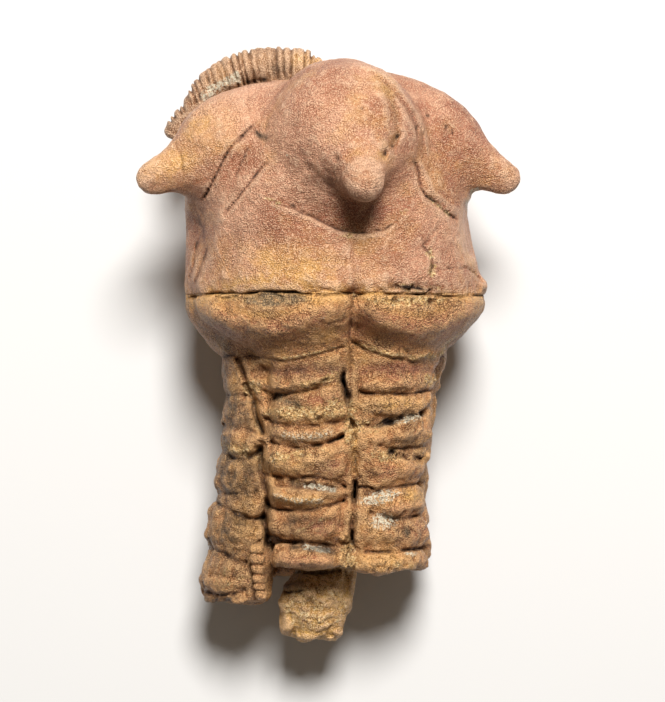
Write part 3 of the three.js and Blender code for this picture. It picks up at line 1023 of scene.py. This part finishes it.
leftArmMarks = [
    *seam("212,358 223,357 237,354", 0.6, 1.4, 0.4),
    *seam("223,396 240,395 253,398", 0.6, 1.5, 0.4),
    spot((240, 410), (13, 13), ash=0.55),
    *seam("222,424 240,428 257,433", 0.7, 1.6, 0.4),
    spot((231, 434), (7, 5), rise=0.4, rosy=0.8),
    *seam("216,441 222,448 236,459 252,457 263,446", 0.9, 1.6, 0.5),
    stroke("220,441 235,451 250,451", 4, rise=0.2, rough=0.35, sandy=0.7),
    # darker and greyer over the left arm
    spot((236, 475), (24, 16), grime=0.36, ash=0.2),
    spot((224, 372), (12, 22), grime=0.42),
    spot((240, 410), (16, 14), grime=0.25),
    spot((222, 580), (24, 22), grime=0.22),
    spot((230, 480), (28, 100), flat=2, ash=0.3, grime=0.28),
    spot((202, 601), (5, 3), pale=0.9),
    *seam("214,490 228,494 244,494 258,490", 0.5, 1.4, 0.3),
    *seam("210,499 219,504 236,514 254,519 268,516", 0.9, 1.7, 0.5),
    spot((232, 532), (24, 16), rise=0.2, ochre=0.5, grime=0.34),
    *seam("203,545 223,553 236,561 248,562", 1.0, 1.7, 0.5),
    *seam("208,575 228,577 246,574", 0.4, 1.2, 0.25),
    *seam("201,591 225,595 246,590", 0.6, 1.3, 0.5),
    stroke("199,598 222,600 244,596", 4, grime=0.45),
]

# Crumbly crusts of sediment on the arms

crustMarks = [
    crust((252, 388), (11, 8), 0.4, 1.0),
    crust((300, 413), (40, 8), 0.35, 0.7, flat=2),
    crust((335, 408), (14, 10), 0.4, 0.8),
    crust((296, 455), (34, 6), 0.45, 0.8, turn=-8),
    crust((350, 425), (6, 22), 0.4, 0.8),
    crust((366, 428), (12, 7), 0.45, 1.0),
    crust((385, 456), (16, 8), 0.4, 0.7),
    crust((432, 380), (9, 7), 0.4, 0.9),
    crust((445, 362), (5, 14), 0.3, 0.8, turn=20),
    crust((240, 448), (20, 6), 0.35, 0.6),
    crust((348, 558), (7, 18), 0.5, 0.9),
    crust((312, 574), (32, 4), 0.5, 0.7),
    crust((228, 578), (20, 14), 0.25, 0.4),
    spot((315, 606), (34, 26), flat=3, rise=0.9, rough=0.45, sandy=0.6),
    stroke("285,600 286,620 290,634", 5, rise=0.8),
    stroke("290,634 303,637 320,637 332,640 343,632", 7, rise=0.7, rough=0.4),
    spot((284, 632), (7, 7), rise=1.0),
    spot((341, 634), (7, 7), rise=1.0),
    # painted shadow of the arms' ends on the top of the ledge
    stroke("280,585 292,586 305,584", 4, rise=0.6, grime=0.3, ash=0.4),
    stroke("283,592 295,592 306,589", 1.4, rise=-0.6, grime=0.5),
]

# The grooves between the arms

grooveMarks = [
    stroke("270,364 274,382 279,398 277,420 272,440 270,480 272,520 274,548", 9, rise=1.0),
    stroke("237,355 242,370 246,382", 2.6, rise=-1.0, grime=0.5),
    stroke("243,382 252,393 255,407 258,424 264,436", 4, rise=-1.2, ochre=0.8, taper=0.05),
    crack("253,400 256,415 265,437", 0.7, 1.3, 0.7),
    stroke("263,440 260,458 262,475 266,492 267,508 264,518 266,530 268,548", 3.2, rise=-1.1, grime=0.35,
           taper=0.05, broken=0.4),
    stroke("350,345 351,365 350,385 351,405", 2.0, rise=-0.4, grime=0.2),
    stroke("347,366 343,378 346,392 349,411", 3.0, rise=-1.5, grime=0.9, taper=0.25, broken=0.3),
    stroke("349,410 352,424 354,440 355,460 354,475", 3.6, rise=-0.6, ochre=0.8, taper=0.05),
    stroke("354,473 355,490 353,510 352,530 352,550", 3.0, rise=-1.0, grime=0.45, taper=0.1, broken=0.5),
    stroke("347,532 346,550 347,572", 5, rough=0.4, ochre=0.8),
]
crownDrawing = Drawing([
    *cupMarks,
    *jointMarks,
    *firstPlateMarks,
    *middleArmMarks,
    *rightArmMarks,
    *leftArmMarks,
    *crustMarks,
    *grooveMarks,
])


# The crown is carved as one, and then parted into its plates along the partings of the CAD nodes

crownNodes = (
    "cup", "arm_front_right", "arm_front_left", "arm_left", "arm_back", "arm_right", "matrix_core"
)
parting = -0.12  # pieces reach this far past their partings, in millimetres, so no gap shows between them
crownShape = {
    "across": (-33, 33),  # the grid's sides, in millimetres
    "upright": (-1.5, 54),
    "reach": 7.0,
    "cupLight": 0.8,  # softening that keeps the cup's spines, in millimetres
    "cupHeavy": 3.0,  # softening that fills the valleys between its plates
    "rounding": 1.0,
    "armHidden": 0.6,  # on the underside, which keeps the plates of the CAD nodes
    "armShown": 1.7,  # on the side that shows, where the plates are carved afresh
    "brokenEnds": (-38.0, -33.0),  # where that gives way to the squarer ends of the arms and the core
    "armsEnd": (-2.0, 6.0),  # where the softening of the arms gives way to that of the cup
    "lumps": [(8.0, 0.3), (2.8, 0.17), (1.1, 0.09), (0.6, 0.06)],
    "wrinkles": [(4.0, 0.45), (1.9, 0.2), (0.9, 0.07)],  # on the arms
    "wrinklesEnd": (-8.0, -2.0),
}
cupBlock = {"cell": 0.7, "from": 4.0, "to": 51.0, "nodes": ["cup"]}
armBlock = {
    "cell": 0.53,
    "from": -51.0,
    "to": 13.0,
    "nodes": [name for name in crownNodes if name != "cup"],
}


# Where a node is nearer than the others around it
def ownSide(volumes, name):
    others = [volume.values for other, volume in volumes.items() if other != name]
    nearest = np.minimum.reduce(others)
    return refined((volumes[name].values - nearest) / 2 + parting)


def softenedCrown(together):
    cell = together.cell
    light = blurred(together.values, crownShape["cupLight"] / cell)
    heavy = blurred(together.values, crownShape["cupHeavy"] / cell)
    cup = softLower(light, heavy, crownShape["rounding"])
    places = together.places(np.ones(cup.shape, bool))
    shown = shownSide(places).reshape(cup.shape)
    ending = smoothStep(places[:, 1], *crownShape["armsEnd"]).reshape(cup.shape)
    shown *= smoothStep(places[:, 1], *crownShape["brokenEnds"]).reshape(cup.shape)
    hidden = blurred(together.values, crownShape["armHidden"] / cell)
    arms = hidden + (blurred(together.values, crownShape["armShown"] / cell) - hidden) * shown
    return (arms + (cup - arms) * ending).astype(np.float32)


def makeCrown(block):
    cell = block["cell"]
    low, high = zip(crownShape["across"], (block["from"], block["to"]), crownShape["upright"])
    volumes = {name: nodeVolume(name, cell, low, high, crownShape["reach"]) for name in crownNodes}
    corner = volumes["cup"].corner
    together = Volume(np.minimum.reduce([volume.values for volume in volumes.values()]), corner, cell)
    whole = Volume(refined(softenedCrown(together)), corner, cell / 2)
    roughen(whole, crownShape["lumps"])
    wrinkle(whole, crownShape["wrinkles"], *crownShape["wrinklesEnd"])
    carve(whole, crownDrawing, shownSide)
    relief = Relief(whole)
    for name in block["nodes"]:
        parted = Volume(np.maximum(whole.values, ownSide(volumes, name)), corner, whole.cell)
        piece = parted.cropped(*nodeBox(name))
        material, slotName = crownMaterials[name]
        addPiece(name + "_stone", name, piece, relief, crownDrawing, shownSide, material)


# The stem and the pinnule

# The edges of the stem in the photograph, with the irregular ribs between them
stemRibs = {
    "outer": "165,122 175,110 190,88 205,70 230,50 270,42 290,43 310,52 327,65",
    "inner": "168,125 190,108 215,95 250,85 275,80 300,72 325,66",
    "count": 27,
    "unevenness": 0.35,
    "depth": (0.15, 0.75),
    "width": (0.8, 1.7),
    "grime": (0.05, 0.55),
    "taper": 0.02,
    "broken": 0.5,
    "seed": 4,
}


def pointAlong(line, share):
    lengths = np.append(0, np.cumsum(np.hypot(*np.diff(line, axis=0).T)))
    return [np.interp(share * lengths[-1], lengths, line[:, axis]) for axis in range(2)]


def ribMarks(ribs):
    chance = np.random.default_rng(ribs["seed"])
    outer = smoothLine(traced(ribs["outer"]))
    inner = smoothLine(traced(ribs["inner"]))
    marks = []
    for index in range(ribs["count"]):
        share = (index + 0.5 + ribs["unevenness"] * chance.uniform(-1, 1)) / ribs["count"]
        marks.append(stroke(
            [pointAlong(outer, share), pointAlong(inner, share)],
            chance.uniform(*ribs["width"]),
            rise=-chance.uniform(*ribs["depth"]),
            grime=chance.uniform(*ribs["grime"]),
            taper=ribs["taper"],
            broken=ribs["broken"],
        ))
    return marks


stemShape = {
    "cell": 0.4,
    "reach": 2.0,
    "light": 0.45,
    "lumps": [(4.0, 0.3), (1.8, 0.22), (0.8, 0.08)],
    "marks": [
        *ribMarks(stemRibs),
        stroke("198,101 212,90 226,82 243,76", 6, rough=0.3, pale=0.8),
        stroke("236,70 238,84", 2.5, pale=0.8),
        stroke("246,83 258,80 268,78", 2.5, rise=-0.2, grime=0.9),
        stroke("290,60 310,62 326,66", 8, ochre=0.8),
        spot((176, 112), (14, 14), grime=0.2),
        spot((280, 70), (26, 8), grime=0.15, ash=0.3),
    ],
}
pinnuleJoints = {"left": 249, "right": 265, "slant": 1, "down": (553, 564, 574, 583, 590)}
pinnuleShape = {
    "cell": 0.3,
    "reach": 1.0,
    "light": 0.15,
    "lumps": [(2.0, 0.12), (0.8, 0.06)],
    "marks": [
        stroke([(pinnuleJoints["left"], down), (pinnuleJoints["right"], down + pinnuleJoints["slant"])],
               0.8, rise=-0.25, grime=0.3, taper=0.02)
        for down in pinnuleJoints["down"]
    ],
}


def makeAlone(node, shape, name, material, margin=2):
    low, high = nodeBox(node)
    volume = nodeVolume(node, shape["cell"], low - margin, high + margin, shape["reach"])
    softened = blurred(volume.values, shape["light"] / shape["cell"])
    volume = Volume(refined(softened), volume.corner, shape["cell"] / 2)
    drawing = Drawing(shape["marks"])
    roughen(volume, shape["lumps"])
    carve(volume, drawing, allRound)
    addPiece(name, node, volume, Relief(volume), drawing, allRound, material)


crownMaterials = {name: (armStone, "crown_stone") for name in crownNodes}
crownMaterials["cup"] = (cupStone, "crown_stone")
crownMaterials["matrix_core"] = (matrixStone, "sandy_matrix")
makeCrown(cupBlock)
makeCrown(armBlock)
makeAlone("stem", stemShape, "stem_discs", stemStone)
makeAlone("pinnule", pinnuleShape, "pinnule_beads", armStone)
print("pieces made")


# The floor, the lights and the camera, in metres

stageSettings = {
    "floorSize": 3.0,
    "floorDrop": 0.0002,
    "floorTone": screenColour(205, 203, 200),
    "floorRoughness": 0.9,
    "aim": (0.0, 0.0, 0.02),
    "keyFrom": (0.16, 0.95),  # sideways and towards the stem
    "keyClimb": 58.0,
    "keyDistance": 0.8,
    "keySize": 0.26,
    "keyPower": 12.2,
    "sky": 0.16,
    "skyTone": (1.0, 0.87, 0.73, 1.0),
}


def makeFloor():
    size = stageSettings["floorSize"]
    bpy.ops.mesh.primitive_plane_add(size=size, location=(0, 0, -stageSettings["floorDrop"]))
    floor = bpy.context.object
    floor.name = "paleFloor"
    material = bpy.data.materials.new("paleFloor")
    material.use_nodes = True
    shader = material.node_tree.nodes["Principled BSDF"]
    shader.inputs["Base Color"].default_value = stageSettings["floorTone"]
    shader.inputs["Roughness"].default_value = stageSettings["floorRoughness"]
    floor.data.materials.append(material)


def makeLights():
    climb = math.radians(stageSettings["keyClimb"])
    sideways, forward = stageSettings["keyFrom"]
    aim = Vector(stageSettings["aim"])
    away = Vector((sideways * math.cos(climb), forward * math.cos(climb), math.sin(climb))).normalized()
    lamp = bpy.data.lights.new("key", "AREA")
    lamp.shape = "DISK"
    lamp.size = stageSettings["keySize"]
    lamp.energy = stageSettings["keyPower"]
    key = bpy.data.objects.new("key", lamp)
    key.location = aim + away * stageSettings["keyDistance"]
    key.rotation_euler = away.to_track_quat("Z", "Y").to_euler()
    scene.collection.objects.link(key)
    world = bpy.data.worlds.new("studio")
    world.use_nodes = True
    world.node_tree.nodes["Background"].inputs["Color"].default_value = stageSettings["skyTone"]
    world.node_tree.nodes["Background"].inputs["Strength"].default_value = stageSettings["sky"]
    scene.world = world


def makeCamera():
    lens = bpy.data.cameras.new("photoCamera")
    camera = bpy.data.objects.new("photoCamera", lens)
    eyeX, eyeY, eyeZ = photoView["eye"]
    camera.location = (eyeX / mmPerMetre, eyeY / mmPerMetre, eyeZ / mmPerMetre)
    lens.sensor_fit = "VERTICAL"
    lens.sensor_height = photoView["sensor"]
    lens.lens = photoView["sensor"] * eyeZ * photoView["pixelsPerMm"] / photoView["height"]
    lens.clip_start = photoView["nearest"] / mmPerMetre
    scene.collection.objects.link(camera)
    scene.camera = camera


makeFloor()
makeLights()
makeCamera()
scene.view_settings.view_transform = "Standard"
print("stage set")
